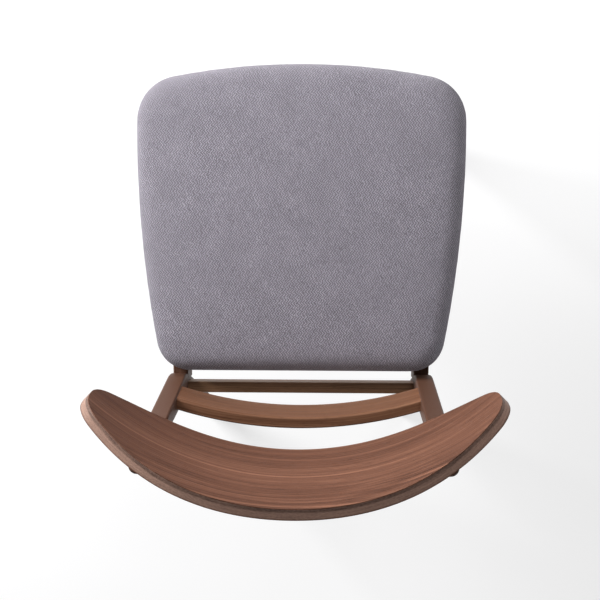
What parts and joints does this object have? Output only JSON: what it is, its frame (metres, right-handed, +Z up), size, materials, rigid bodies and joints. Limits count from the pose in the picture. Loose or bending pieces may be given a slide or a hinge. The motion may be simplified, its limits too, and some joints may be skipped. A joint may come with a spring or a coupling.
{
  "type": "dining chair",
  "caption": "Wooden side chair with a curved bent-panel crest rail, a curved back slat, splayed rear legs and an upholstered grey seat pad.",
  "frame": {"origin": "on the floor, at the centre of the chair's overall footprint", "axes": "+Z up, +X to the sitter's left, +Y to the back, so the chair faces -Y"},
  "size_m": [0.5108, 0.5867, 0.7922],
  "materials": {
    "walnut_veneer": "satin lacquer",
    "stained_wood": "satin lacquer, walnut stain",
    "plug_wood": "satin lacquer",
    "beech": "unfinished",
    "plywood": "unfinished",
    "foam": "open-cell polyurethane foam",
    "grey_cloth": "woven upholstery cloth",
    "black_cloth": "non-woven dust cloth",
    "nylon": "moulded",
    "zinc_steel": "bright zinc plate"
  },
  "bodies": {
    "root": {"back_slat": "stained_wood", "barrel_nuts": "zinc_steel", "block_screws": "zinc_steel", "bolt_washers": "zinc_steel", "bracket_screws": "zinc_steel", "corner_block_left": "beech", "corner_block_right": "beech", "cover_staples": "zinc_steel", "crest_plugs": "plug_wood", "crest_rail": "walnut_veneer", "crest_screws": "zinc_steel", "dust_cloth": "black_cloth", "frame_bolts": "zinc_steel", "frame_dowels": "beech", "front_glide_left": "nylon", "front_glide_right": "nylon", "front_leg_left": "stained_wood", "front_leg_right": "stained_wood", "front_rail": "stained_wood", "hanger_bolts": "zinc_steel", "hanger_nuts": "zinc_steel", "hanger_washers": "zinc_steel", "rear_glide_left": "nylon", "rear_glide_right": "nylon", "rear_leg_left": "stained_wood", "rear_leg_right": "stained_wood", "rear_rail": "stained_wood", "seat_board": "plywood", "seat_bracket_left": "zinc_steel", "seat_bracket_right": "zinc_steel", "seat_cover": "grey_cloth", "seat_foam": "foam", "seat_screws": "zinc_steel", "side_rail_left": "stained_wood", "side_rail_right": "stained_wood"}
  },
  "joints": []
}
